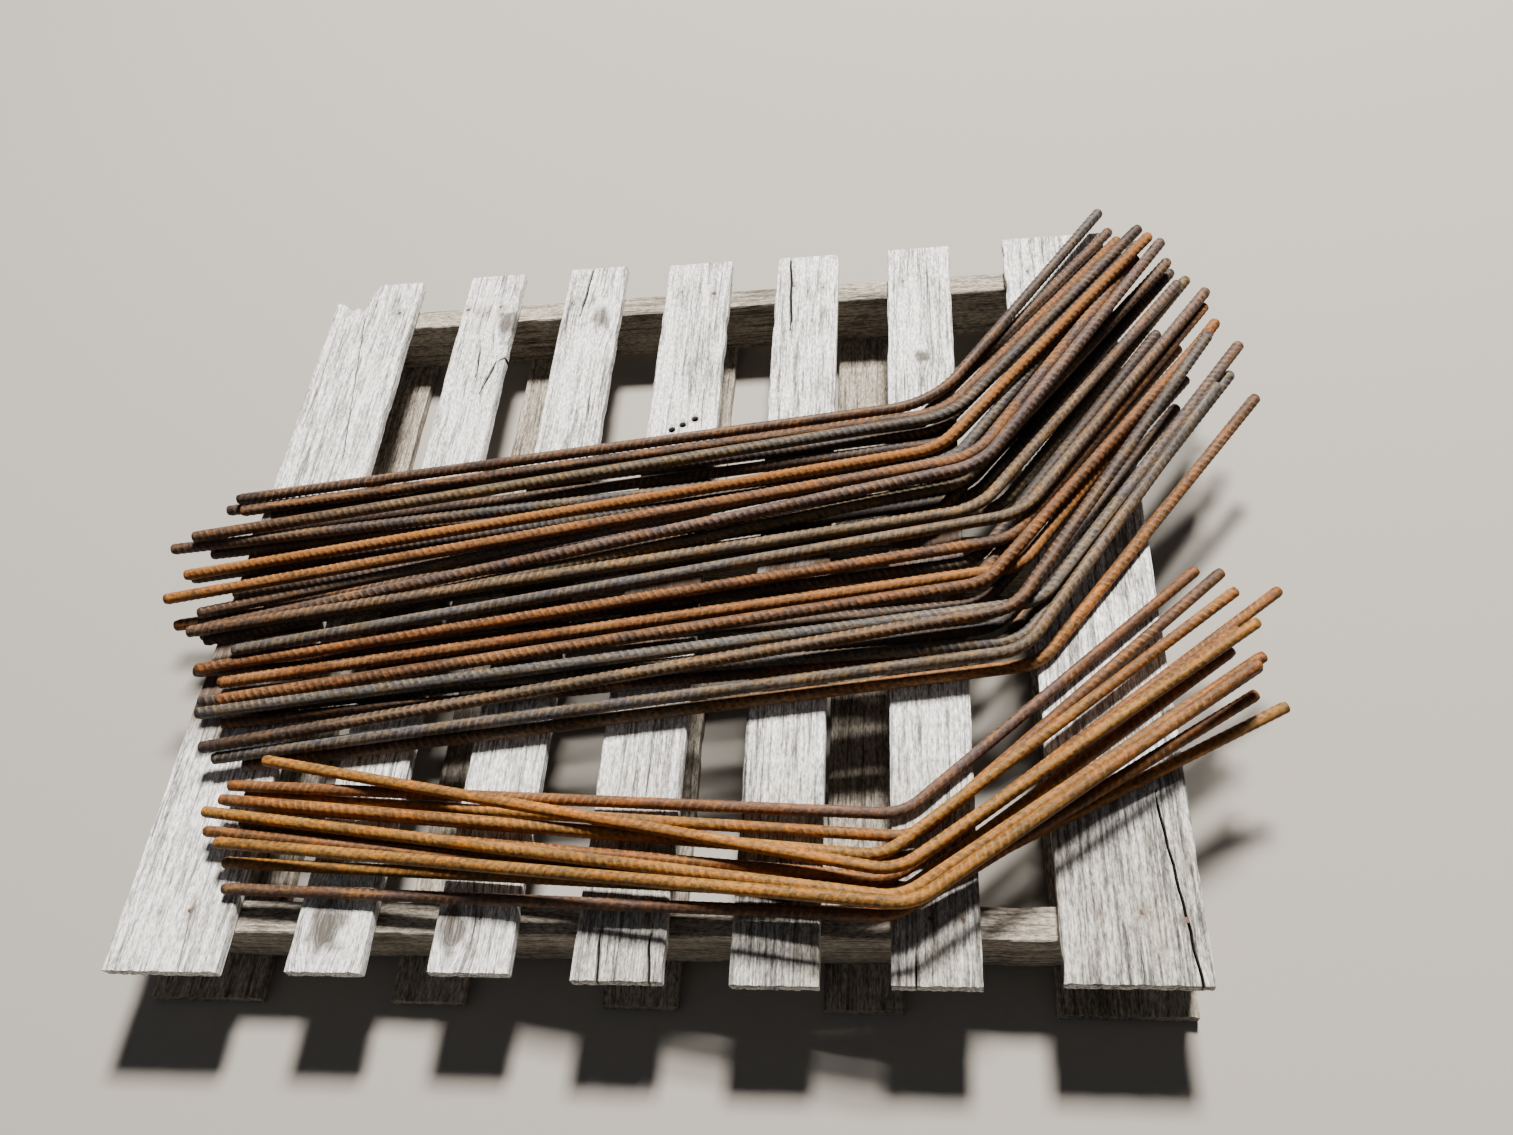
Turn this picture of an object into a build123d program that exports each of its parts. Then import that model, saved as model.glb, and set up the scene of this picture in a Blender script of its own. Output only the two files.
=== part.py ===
"""Two bundles of bent reinforcing bars lying on a wooden pallet with wings, in millimetres.

The origin is on the ground under the middle of the pallet. X runs along the stringers and the long
legs of the bars, Y from the near side to the far side, Z up.
"""
import os
from math import atan, cos, degrees, hypot, radians, sin, tan
from typing import NamedTuple

import numpy as np
from build123d import *

# Pallet
stringer_length = 1219.0
stringer_width = 38.0
stringer_height = 89.0
stringer_span = 1016.0
board_length = 1118.0
board_thickness = 17.0
deck_widths = (141.0, 90.0, 93.0, 101.0, 95.0, 94.0, 148.0)
deck_nudges = (0.0, 6.0, 7.0, 1.0, -3.0, -4.0, 0.0)
deck_slides = (0.0, 2.0, 4.0, -2.0, -4.0, -2.0, 3.0)
bottom_widths = (141.0, 89.0, 89.0, 89.0, 148.0)
edge_wear = 2.0

# The far end of the first deck board, where a strip has split off
split_width = 57.0
split_depth = 57.0
split_rise = 22.0
split_slant = 13.0

# Bars: 5/8 inch reinforcing bar, bent once to about 45 degrees
bar_diameter = 15.9
bar_clearance = 0.5
bend_radius = 62.0

# How finely a bar and what lies under it are looked at while it is laid
sample_step = 8.0
bend_chords = 8
most_pivots = 200
touch = 1e-6


class Bar(NamedTuple):
    """One bent bar: where its two legs would meet, which way the long leg points, and its sizes."""

    x: float
    y: float
    heading: float
    long_leg: float
    bend: float
    short_leg: float
    radius: float = bend_radius


# The far bundle, in the order in which its bars lie on each other: the first thirteen at the deck
far_bars = (
    Bar(322, 189, 5.6, 985, 45.3, 470),
    Bar(354, 176, 5.9, 945, 44.7, 430),
    Bar(369, 157, 6.2, 980, 45.1, 440),
    Bar(372, 113, 5.4, 1034, 47.4, 453),
    Bar(388, 81, 7.6, 1000, 44.4, 455),
    Bar(399, 64, 8.0, 961, 44.6, 484),
    Bar(429, 42, 8.6, 1070, 45.8, 490),
    Bar(396, -39, 7.0, 976, 47.8, 460),
    Bar(390, -72, 6.0, 1010, 46.0, 480),
    Bar(402, -103, 4.9, 977, 46.0, 453),
    Bar(416, -138, 5.6, 934, 47.5, 421),
    Bar(416, -167, 4.9, 975, 47.0, 470),
    Bar(464, -188, 7.1, 979, 45.2, 502),
    Bar(347, 21, 7.5, 1015, 44.8, 470),
    Bar(443, -168, 3.3, 1030, 50.5, 505),
    Bar(448, -61, 8.4, 1015, 45.5, 490),
    Bar(368, 106, 7.1, 1050, 45.8, 450),
    Bar(339, 99, 4.5, 1052, 46.7, 460),
    Bar(440, -18, 9.4, 1048, 44.0, 480),
    Bar(382, 60, 11.9, 1000, 39.9, 490),
    Bar(468, -121, 7.3, 1047, 47.0, 495),
    Bar(445, -185, 7.0, 994, 47.9, 470),
    Bar(363, 196, 6.8, 994, 43.8, 414, 100),
    Bar(374, 184, 8.7, 1058, 40.9, 429, 110),
    Bar(376, 95, 11.3, 1015, 43.0, 460),
    Bar(398, 82, 9.3, 1074, 46.4, 425, 90),
    Bar(407, 67, 11.0, 1028, 44.7, 475, 90),
    Bar(454, 9, 10.1, 1014, 43.5, 462, 80),
    Bar(404, -94, 8.4, 964, 42.9, 507),
    Bar(436, -140, 9.0, 1004, 47.6, 505),
    Bar(354, 103, 7.3, 1037, 42.1, 464, 85),
    Bar(402, 22, 9.4, 1025, 43.7, 492, 90),
    Bar(350, 213, 6.5, 994, 48.8, 448, 135),
)

# The near bundle, lighter and shorter, in the same order
near_bars = (
    Bar(322, -461, -4.5, 800, 32.0, 458),
    Bar(292, -494, -2.1, 776, 33.8, 470),
    Bar(315, -403, -3.8, 808, 46.0, 501),
    Bar(321, -427, -4.4, 795, 42.3, 540),
    Bar(290, -457, -4.9, 770, 42.0, 500),
    Bar(296, -475, -3.0, 790, 40.3, 480),
    Bar(304, -489, -6.0, 825, 40.7, 480),
    Bar(281, -432, -4.9, 792, 43.8, 535),
    Bar(301, -488, -7.3, 827, 41.9, 486),
    Bar(302, -376, -2.3, 809, 43.7, 474),
    Bar(296, -458, -10.7, 776, 47.0, 511),
    Bar(313, -499, -5.6, 810, 41.1, 464),
)

# Heights that follow from the sizes above
stringer_foot = board_thickness
deck_underside = stringer_foot + stringer_height
deck_top = deck_underside + board_thickness
contact_distance = bar_diameter + bar_clearance


def row_starts(widths, nudges):
    """Left edges of a row of boards with even gaps, each board moved by its nudge."""
    gap = (stringer_length - sum(widths)) / (len(widths) - 1)
    edge = -stringer_length / 2
    starts = []
    for width, nudge in zip(widths, nudges):
        starts.append(edge + nudge)
        edge += width + gap
    return starts


def board(start, width, slide, base):
    """One board across the stringers, its long edges worn round."""
    middle = Pos(start + width / 2, slide, base + board_thickness / 2)
    blank = middle * Box(width, board_length, board_thickness)
    return fillet(blank.edges().filter_by(Axis.Y), edge_wear)


def split_end(start, slide):
    """The strip that is missing from the far end of a deck board."""
    end = slide + board_length / 2
    outline = Polyline(
        (start - split_width, end + split_depth),
        (start - split_width, end - split_depth + 2 * split_rise),
        (start + split_width, end - split_depth),
        (start + split_width, end - split_depth / 2),
        (start + split_width + split_slant, end),
        (start + split_width + split_slant, end + split_depth),
        close=True,
    )
    missing = extrude(make_face(outline), board_thickness + 2 * edge_wear)
    return Pos(0, 0, deck_underside - edge_wear) * missing


def deck_boards():
    """The seven deck boards, wide ones at the two ends."""
    rows = zip(row_starts(deck_widths, deck_nudges), deck_widths, deck_slides)
    boards = [board(start, width, slide, deck_underside) for start, width, slide in rows]
    boards[0] = boards[0] - split_end(row_starts(deck_widths, deck_nudges)[0], deck_slides[0])
    return boards


def bottom_boards():
    """The five boards under the stringers."""
    starts = row_starts(bottom_widths, (0,) * len(bottom_widths))
    return [board(start, width, 0, 0) for start, width in zip(starts, bottom_widths)]


def stringer(y):
    """One of the three runners on edge, its long edges worn round."""
    middle = Pos(0, y, stringer_foot + stringer_height / 2)
    blank = middle * Box(stringer_length, stringer_width, stringer_height)
    return fillet(blank.edges().filter_by(Axis.X), edge_wear)


def plan_corners(bar):
    """Start, corner and end of a bar, seen from above."""
    along = radians(bar.heading)
    away = radians(bar.heading + bar.bend)
    corner = np.array((bar.x, bar.y), float)
    start = corner - bar.long_leg * np.array((cos(along), sin(along)))
    end = corner + bar.short_leg * np.array((cos(away), sin(away)))
    return start, corner, end


def plan_vertices(bar):
    """The bar's centre line seen from above, its bend drawn with short chords."""
    start, corner, end = plan_corners(bar)
    tangent = bar.radius * tan(radians(bar.bend) / 2)
    along = (corner - start) / bar.long_leg
    inward = np.array((-along[1], along[0]))
    centre = corner - along * tangent + inward * bar.radius
    turns = np.linspace(0, radians(bar.bend), bend_chords + 1)
    arc = [centre + bar.radius * (along * sin(turn) - inward * cos(turn)) for turn in turns]
    return np.array([start, *arc, end])


def plan_points(vertices):
    """Points along a centre line, closer together than a bar's diameter."""
    points = []
    for first, second in zip(vertices, vertices[1:]):
        count = max(1, round(float(np.linalg.norm(second - first)) / sample_step))
        points += [first + (second - first) * i / count for i in range(count)]
    return np.array([*points, vertices[-1]])


def resting_plane(places, heights, middle):
    """The lowest plane over all the heights: it touches three of them, around the middle.

    The plane starts on three far, low points. While some height is above it, the highest one takes
    the place of the point that leaves the middle inside the three.
    """
    reach = 10 * stringer_length
    directions = [radians(turn) for turn in (0, 120, 240)]
    corners = [(middle[0] + reach * cos(a), middle[1] + reach * sin(a), -reach) for a in directions]
    plane = np.array((-reach, 0, 0))
    for _ in range(most_pivots):
        above = heights - (plane[0] + places @ plane[1:])
        highest = int(np.argmax(above))
        if above[highest] < touch:
            break
        contact = (*places[highest], heights[highest])
        for i in range(3):
            trial = corners[:i] + [contact] + corners[i + 1:]
            rows = np.array([(1, x, y) for x, y, _ in trial])
            if abs(np.linalg.det(rows)) < 1:
                continue
            if np.linalg.solve(rows.T, np.array((1, *middle))).min() >= -touch:
                corners = trial
                plane = np.linalg.solve(rows, np.array([z for _, _, z in trial]))
                break
    return plane


def over_deck(places):
    """Which places are over the deck boards, or less than a step beside one."""
    inside = np.zeros(len(places), bool)
    for start, width in zip(row_starts(deck_widths, deck_nudges), deck_widths):
        inside |= abs(places[:, 0] - start - width / 2) < width / 2 + sample_step
    return inside & (abs(places[:, 1]) < board_length / 2 + sample_step)


def contact_heights(places, laid):
    """How high the centre line has to be at each place to clear the deck and the bars laid before."""
    heights = np.where(over_deck(places), deck_top + contact_distance / 2, contact_distance / 2)
    for vertices, plane in laid:
        first = vertices[:-1]
        span = np.diff(vertices, axis=0)
        offset = places[:, None, :] - first[None, :, :]
        share = np.clip((offset * span).sum(axis=2) / (span ** 2).sum(axis=1), 0, 1)
        nearest = first + share[..., None] * span
        side = np.linalg.norm(places[:, None, :] - nearest, axis=2)
        rise = np.sqrt(np.maximum(contact_distance ** 2 - side ** 2, 0))
        level = plane[0] + nearest @ plane[1:] + rise
        touching = np.where(side < contact_distance, level, -np.inf).max(axis=1)
        heights = np.maximum(heights, touching)
    return heights


def rest(bar, laid):
    """The plane in which a bar comes to rest on the deck and on the bars laid before it."""
    places = plan_points(plan_vertices(bar))
    return resting_plane(places, contact_heights(places, laid), places.mean(axis=0))


def lay(bars):
    """The resting plane of each bar, laid down one after another."""
    laid = []
    for bar in bars:
        laid.append((plan_vertices(bar), rest(bar, laid)))
    return [plane for _, plane in laid]


def bent_bar(bar, plane):
    """The bar's plain round body: long leg, bend and short leg in its resting plane."""
    lift = [Vector(x, y, plane[0] + plane[1] * x + plane[2] * y) for x, y in plan_corners(bar)]
    path = FilletPolyline(*lift, radius=bar.radius)
    section = Plane(origin=path @ 0, z_dir=path % 0) * Circle(bar_diameter / 2)
    return sweep(section, path=path)


def main():
    """Write one STEP file for each piece."""
    os.makedirs("parts", exist_ok=True)
    pieces = {}
    for number, piece in enumerate(deck_boards(), 1):
        pieces[f"deck_board_{number}"] = piece
    for number, piece in enumerate(bottom_boards(), 1):
        pieces[f"bottom_board_{number}"] = piece
    far_stringer = (stringer_span - stringer_width) / 2
    for name, y in (("near", -far_stringer), ("middle", 0), ("far", far_stringer)):
        pieces[f"stringer_{name}"] = stringer(y)
    names = [f"far_bar_{number:02d}" for number in range(1, len(far_bars) + 1)]
    names += [f"near_bar_{number:02d}" for number in range(1, len(near_bars) + 1)]
    for name, bar, plane in zip(names, far_bars + near_bars, lay(far_bars + near_bars)):
        pieces[name] = bent_bar(bar, plane)
        tilt = degrees(atan(hypot(plane[1], plane[2])))
        height = plane[0] + plane[1] * bar.x + plane[2] * bar.y - deck_top
        print(f"{name}: {height:.0f} above the deck at its bend, tilted {tilt:.1f} degrees")
    for name, piece in pieces.items():
        export_step(piece, f"parts/{name}.step")


main()
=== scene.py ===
"""Looks of the rebar bundle: ribbed rusty bars on a weathered wooden pallet, in metres.

Every bar follows the centre line of its plain solid, and every board and stringer keeps the size and
place of its solid.
"""
import math
from typing import NamedTuple

import bpy
import numpy as np
from mathutils import Matrix, Vector, noise


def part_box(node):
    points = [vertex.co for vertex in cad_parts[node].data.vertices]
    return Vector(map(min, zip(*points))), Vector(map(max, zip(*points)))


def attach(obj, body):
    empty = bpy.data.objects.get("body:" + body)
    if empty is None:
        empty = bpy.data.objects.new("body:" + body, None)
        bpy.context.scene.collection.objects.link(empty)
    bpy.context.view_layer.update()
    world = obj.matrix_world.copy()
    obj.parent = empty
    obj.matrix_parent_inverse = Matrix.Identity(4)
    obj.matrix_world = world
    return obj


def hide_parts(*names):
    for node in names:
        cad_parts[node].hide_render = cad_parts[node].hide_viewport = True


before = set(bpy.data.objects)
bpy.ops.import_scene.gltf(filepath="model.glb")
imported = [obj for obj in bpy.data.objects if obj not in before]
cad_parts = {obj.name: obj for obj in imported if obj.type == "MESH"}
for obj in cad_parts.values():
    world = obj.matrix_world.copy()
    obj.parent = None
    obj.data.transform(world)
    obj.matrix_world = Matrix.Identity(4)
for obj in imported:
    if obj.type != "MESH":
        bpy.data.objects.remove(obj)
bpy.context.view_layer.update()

bl_info = {
    "name": "Rebar Bundle Looks",
    "version": (1, 0, 0),
    "blender": (4, 5, 0),
    "location": "3D View > Sidebar > Rebar",
    "description": "Builds ribbed, rusty bars and a weathered pallet around a fixed frame",
    "category": "Object",
}

mm = 0.001

# Camera, as the photograph was taken
camera_place = (0.350, -0.921, 1.407)
camera_right = (0.98849, 0.05663, -0.14031)
camera_down = (-0.03299, -0.82437, -0.56509)
camera_forward = (-0.14767, 0.56321, -0.81301)
camera_lens = 29.03
sensor_width = 36.0

# Colours of the bars' steel, from clean mill scale to bright new rust
tones = {
    "scale": (0.038, 0.032, 0.029),
    "slate": (0.072, 0.062, 0.055),
    "pewter": (0.102, 0.087, 0.070),
    "umber": (0.048, 0.027, 0.018),
    "brown": (0.086, 0.043, 0.022),
    "plum": (0.094, 0.054, 0.040),
    "tan": (0.130, 0.084, 0.043),
    "olive": (0.104, 0.076, 0.038),
    "rust": (0.150, 0.056, 0.014),
    "orange": (0.260, 0.100, 0.014),
    "amber": (0.220, 0.100, 0.016),
}


class BarLook(NamedTuple):
    """How one bar looks: its tones from start to tail, how rusty it is, and its ribs."""

    tones: str
    rust: float = 0.35
    ribs: float = 1.0
    slant: float = 1.0


def bar_looks(*rows):
    """The looks of one bundle's bars, in the order of their numbers."""
    return [BarLook(*row) for row in rows]


# The far bundle's bars, dark and mixed
far_looks = bar_looks(
    ("umber scale umber brown",),
    ("umber scale umber umber",),
    ("umber umber umber umber",),
    ("umber scale scale slate",),
    ("umber scale umber umber",),
    ("brown umber scale umber",),
    ("umber slate olive olive", 0.3),
    ("umber umber scale umber",),
    ("brown umber umber umber", 0.5),
    ("umber scale umber umber",),
    ("umber scale scale umber",),
    ("brown umber scale umber", 0.5),
    ("umber tan orange brown", 0.4, 0.8),
    ("rust umber umber umber", 0.5),
    ("scale scale slate slate", 0.25, 1.1),
    ("rust rust orange rust", 0.6),
    ("umber scale slate slate", 0.3, 1.0, -1.0),
    ("brown slate slate scale", 0.3),
    ("rust rust brown brown", 0.55),
    ("umber olive olive brown", 0.35, 1.1, -1.0),
    ("slate pewter pewter plum", 0.25, 0.8),
    ("slate slate tan slate", 0.3, 0.8),
    ("brown umber brown rust", 0.55),
    ("brown olive slate umber", 0.35, 0.8),
    ("brown pewter slate slate", 0.3),
    ("orange rust plum plum", 0.6),
    ("umber plum plum plum", 0.35),
    ("slate slate tan plum", 0.3, 0.7),
    ("rust brown rust rust", 0.5, 1.1),
    ("umber tan brown slate", 0.3, 1.1, -1.0),
    ("orange orange orange rust", 0.8, 0.9),
    ("brown tan tan plum", 0.3),
    ("umber brown brown slate", 0.35),
)

# The near bundle's bars, evenly orange
near_looks = bar_looks(
    ("amber amber orange amber", 0.4, 0.6),
    ("brown plum rust rust", 0.3, 0.6),
    ("orange amber rust brown", 0.35, 0.6),
    ("amber orange rust rust", 0.4, 0.6, -1.0),
    ("rust rust rust rust", 0.4, 0.6),
    ("amber amber orange rust", 0.4, 0.6),
    ("rust brown rust rust", 0.35, 0.6, -1.0),
    ("rust amber amber rust", 0.4, 0.6),
    ("amber amber amber rust", 0.4, 0.6),
    ("rust rust plum rust", 0.25, 0.6, -1.0),
    ("amber orange amber amber", 0.4, 0.6),
    ("amber amber amber rust", 0.4, 0.6),
)

# Far bars under the others, which get fewer faces
hidden_bars = [f"far_bar_{number:02d}" for number in (2, 4, 5, 6, 8, 10, 11)]
bar_sides = 16
hidden_bar_sides = 10

# Where the bars' tails point, roughly
tail_direction = (0.70, 0.71, 0.0)

# How far a bar's ribs may turn round it, in radians, how high its seams are beside its ribs, how far its
# pattern may be shifted, in metres, and the seed for these
most_twist = 0.8
seam_share = 0.8
pattern_span = 40
bar_seed = 12

# Cracks along the grain of the deck boards: both ends, width and depth in millimetres
board_cracks = {
    "deck_board_1": (
        ((-522, -480), (-513, -566), 1.5, 4.0),
        ((-555, 505), (-507, 150), 2.6, 8.0),
    ),
    "deck_board_2": (
        ((-309, 368), (-324, 305), 4.6, 10.0),
        ((-341, 402), (-336, 340), 3.6, 8.0),
    ),
    "deck_board_3": (((-181, 566), (-189, 458), 4.4, 10.0),),
    "deck_board_4": (
        ((-29, -505), (-26, -566), 4.0, 12.0),
        ((27, -510), (31, -566), 4.0, 12.0),
    ),
    "deck_board_5": (((138, 560), (144, 396), 3.6, 8.0),),
    "deck_board_6": (((314, -520), (312, -566), 2.5, 6.0),),
    "deck_board_7": (((575, -345), (598, -566), 3.0, 10.0),),
}

# Knots: place on the deck and radius in millimetres
knots = {
    "deck_board_2": (((-350, -506), 20), ((-305, 453), 15)),
    "deck_board_3": (((-198, -508), 19), ((-154, 448), 15)),
    "deck_board_5": (((170, -470), 8),),
    "deck_board_6": (((335, 330), 9),),
}

# Round holes in the fourth deck board, in millimetres
board_holes = ((-19, 212), (-4, 220), (13, 230))
hole_radius = 5.2

# A notch broken into one edge of the second deck board: its mouth, its tip and its width, in millimetres
board_notch = ((-286, 382), (-309, 367), 7.0)

# How far apart the lines of a timber's mesh are across and along its grain, in millimetres, and the
# first timber's seed
deck_mesh = (4.0, 9.0)
frame_mesh = (6.0, 16.0)
timber_seed = 31

# How deep weather and handling have worn the wood, in millimetres
edge_wear = 2.0
edge_chips = 3.0
frayed_ends = 1.4
ridge_depth = 0.9
wave_depth = 0.8
knot_rise = 0.5

# Rust dust and painted shade lie on the deck under the far bars, between two lines, given by their Y at two
# places along X, and as far as one X, in metres, and thin out over so many millimetres along Y and X
dust_shade_ends = (-0.55, 0.6)
dust_shade_band = ((-0.275, -0.155), (0.140, 0.260))
dust_shade_right = 0.44
dust_shade_fade = (60, 30)

# The deck is greyer to the right of one X and nearer than one Y, in metres, and gets so over so many
# millimetres along X and Y
greyed_corner = (-0.15, -0.28)
greyed_fade = (150, 120)

# How far under the deck's top the middle of a nail's head lies, in millimetres
nail_depth = 1.3

# Nails in the deck boards, in millimetres: near stringer, middle stringer, far stringer
nail_places = (
    (-559, -487), (-522, -488), (-475, -488), (-364, -484), (-326, -492), (-205, -487), (-170, -493),
    (-20, -486), (22, -491), (160, -490), (196, -484), (330, -489), (362, -492), (502, -482), (547, -481),
    (590, -489), (-560, 4), (-518, -5), (-352, 3), (-318, -6), (-190, 5), (-158, -4), (-22, 6), (18, -3),
    (170, 4), (205, -5), (318, -4), (352, 5), (510, 4), (566, -5), (-495, 490), (-378, 487), (-360, 480),
    (-343, 476), (-323, 488), (-205, 486), (-172, 492), (-32, 494), (21, 487), (146, 492), (190, 486),
    (309, 485), (356, 481), (496, 489), (552, 486),
)

# How metallic each bundle's steel is, how much steel and wood reflect, and how deep the bumps of steel,
# wood and nails are, in millimetres
far_metallic = 0.12
near_metallic = 0.05
dull_specular = 0.25
steel_bump = 0.9
wood_bump = 2.4
nail_bump = 0.4

# What differs from the shader groups' own values
near_steel_look = {
    "Rust Colour": (0.25, 0.100, 0.017, 1),
    "Dark Colour": (0.040, 0.018, 0.008, 1),
    "Worn Colour": (0.36, 0.17, 0.04, 1),
    # How strongly the feet of the ribs are darkened with dirt and painted shade
    "Contrast": 0.55,
}
# The frame's wood is browner and darker than the deck's, partly its own tone and partly painted shade under
# the deck
frame_wood_tone_and_shade = {
    "Light Colour": (0.36, 0.315, 0.255, 1),
    "Dark Colour": (0.11, 0.092, 0.074, 1),
    "Bare Share": 0.25,
}

# What both shader groups put out
surface_outputs = {"Color": "Color", "Roughness": "Float", "Height": "Float"}

# The attributes that the materials feed to the groups' inputs, and how they are read
steel_sources = {
    "Place": ("bar_place", "Vector"),
    "Tone": ("tone", "Color"),
    "Rust Share": ("rust", "Fac"),
    "Relief": ("relief", "Fac"),
}
wood_sources = {
    "Grain": ("grain", "Vector"),
    # Rust round the nails, and rust dust with painted shade under the bars
    "Stain": ("stain_and_shade", "Fac"),
    "Knot": ("knot", "Fac"),
    # Cracks and the walls of cuts, darkened with painted shade
    "Crack Shade": ("crack", "Fac"),
    "Greyed": ("greyed", "Fac"),
}

# A small strong light throws the shadows, and a large weak one fills them: place, what it points at,
# size, power in watts and colour
studio_lights = {
    "key_light": ((1.15, 4.1, 6.4), (0.05, 0, 0.1), 1.2, 2450, (1.0, 0.965, 0.91)),
    "fill_light": ((-2.6, -2.2, 2.4), (0, 0, 0.1), 2.5, 5, (0.93, 0.96, 1.0)),
}
air_colour = (0.90, 0.93, 1.0, 1)
air_strength = 0.09
floor_size = 30

# How the nodes are laid out in the editor, in its own units
nodes_in_row = 14
node_spacing = (220, 280)


# Nodes

def add_node(tree, kind, inputs=None, **settings):
    """Add a node, set its options, and link or fill its inputs by name or number."""
    made = tree.nodes.new(kind)
    row, column = divmod(len(tree.nodes), nodes_in_row)
    made.location = (node_spacing[0] * column, -node_spacing[1] * row)
    for option, value in settings.items():
        setattr(made, option, value)
    for name, value in (inputs or {}).items():
        if isinstance(value, bpy.types.NodeSocket):
            tree.links.new(value, made.inputs[name])
        else:
            made.inputs[name].default_value = value
    return made


def calc(tree, operation, *values, clamp=False):
    """A Math node's result."""
    inputs = dict(enumerate(values))
    return add_node(tree, "ShaderNodeMath", inputs, operation=operation, use_clamp=clamp).outputs[0]


def vector_calc(tree, operation, *values):
    """A Vector Math node's result."""
    inputs = dict(enumerate(values))
    if operation == "SCALE":
        inputs = {0: values[0], "Scale": values[1]}
    return add_node(tree, "ShaderNodeVectorMath", inputs, operation=operation).outputs[0]


def mask(tree, *factors):
    """Factors multiplied into one mask, kept between 0 and 1."""
    product = factors[0]
    for factor in factors[1:]:
        product = calc(tree, "MULTIPLY", product, factor, clamp=True)
    return product


def weighted(tree, *pairs):
    """The sum of values, each times its weight."""
    total = calc(tree, "MULTIPLY", *pairs[0])
    for value, weight in pairs[1:]:
        total = calc(tree, "MULTIPLY_ADD", value, weight, total)
    return total


def remap(tree, value, low, high, new_low=0.0, new_high=1.0):
    """A value mapped smoothly from one range to another."""
    inputs = dict(enumerate((value, low, high, new_low, new_high)))
    return add_node(tree, "ShaderNodeMapRange", inputs, interpolation_type="SMOOTHSTEP").outputs[0]


def blend(tree, share, first, second):
    """Two colours mixed by a share."""
    inputs = {0: share, 6: first, 7: second}
    return add_node(tree, "ShaderNodeMix", inputs, data_type="RGBA").outputs[2]


def noise_value(tree, place, scale, detail=3.0, roughness=0.55, distortion=0.0):
    """Fractal noise at a place, with its own scale on each axis."""
    inputs = {"Vector": vector_calc(tree, "MULTIPLY", place, scale), "Scale": 1.0, "Detail": detail,
              "Roughness": roughness, "Distortion": distortion}
    return add_node(tree, "ShaderNodeTexNoise", inputs).outputs["Fac"]


def new_group(name, kind, inputs, outputs):
    """An empty node group, its inputs' values and its output node.

    Each socket is given with its default, or with the name of its type where it has none.
    """
    types = {float: "Float", int: "Int", tuple: "Color"}
    group = bpy.data.node_groups.new(name, kind)
    for direction, sockets in (("INPUT", inputs), ("OUTPUT", outputs)):
        for socket_name, default in sockets.items():
            bare = isinstance(default, str)
            socket_type = "NodeSocket" + (default if bare else types[type(default)])
            socket = group.interface.new_socket(socket_name, in_out=direction, socket_type=socket_type)
            if not bare:
                socket.default_value = default
    return group, add_node(group, "NodeGroupInput").outputs, add_node(group, "NodeGroupOutput")


def put_out(tree, result, **values):
    """Link values to a group's outputs."""
    for name, value in values.items():
        tree.links.new(value, result.inputs[name])


# Objects

def add_object(name, data):
    """An object in the scene for a mesh, a light or a camera."""
    made = bpy.data.objects.new(name, data)
    bpy.context.scene.collection.objects.link(made)
    return made


def finished_mesh(source):
    """A plain mesh of an object as its modifiers leave it."""
    bpy.context.view_layer.update()
    graph = bpy.context.evaluated_depsgraph_get()
    return bpy.data.meshes.new_from_object(source.evaluated_get(graph), depsgraph=graph)


# Materials

def varied_tone(tree, tone, place, mottle):
    """The bar's own tone, lighter and darker, warmer and cooler from place to place."""
    tone = vector_calc(tree, "SCALE", tone, remap(tree, mottle, 0.30, 0.70, 0.44, 1.30))
    drift = noise_value(tree, place, (7, 20, 20), 2.0)
    tone = vector_calc(tree, "SCALE", tone, remap(tree, drift, 0.32, 0.68, 0.75, 1.25))
    hue = noise_value(tree, place, (32, 90, 90), 4.0, 0.7, 0.3)
    warm = vector_calc(tree, "MULTIPLY", tone, (1.45, 1.15, 0.62))
    cool = vector_calc(tree, "MULTIPLY", tone, (0.78, 0.86, 1.12))
    tone = blend(tree, remap(tree, hue, 0.50, 0.62), tone, warm)
    return blend(tree, remap(tree, hue, 0.50, 0.38), tone, cool)


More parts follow.
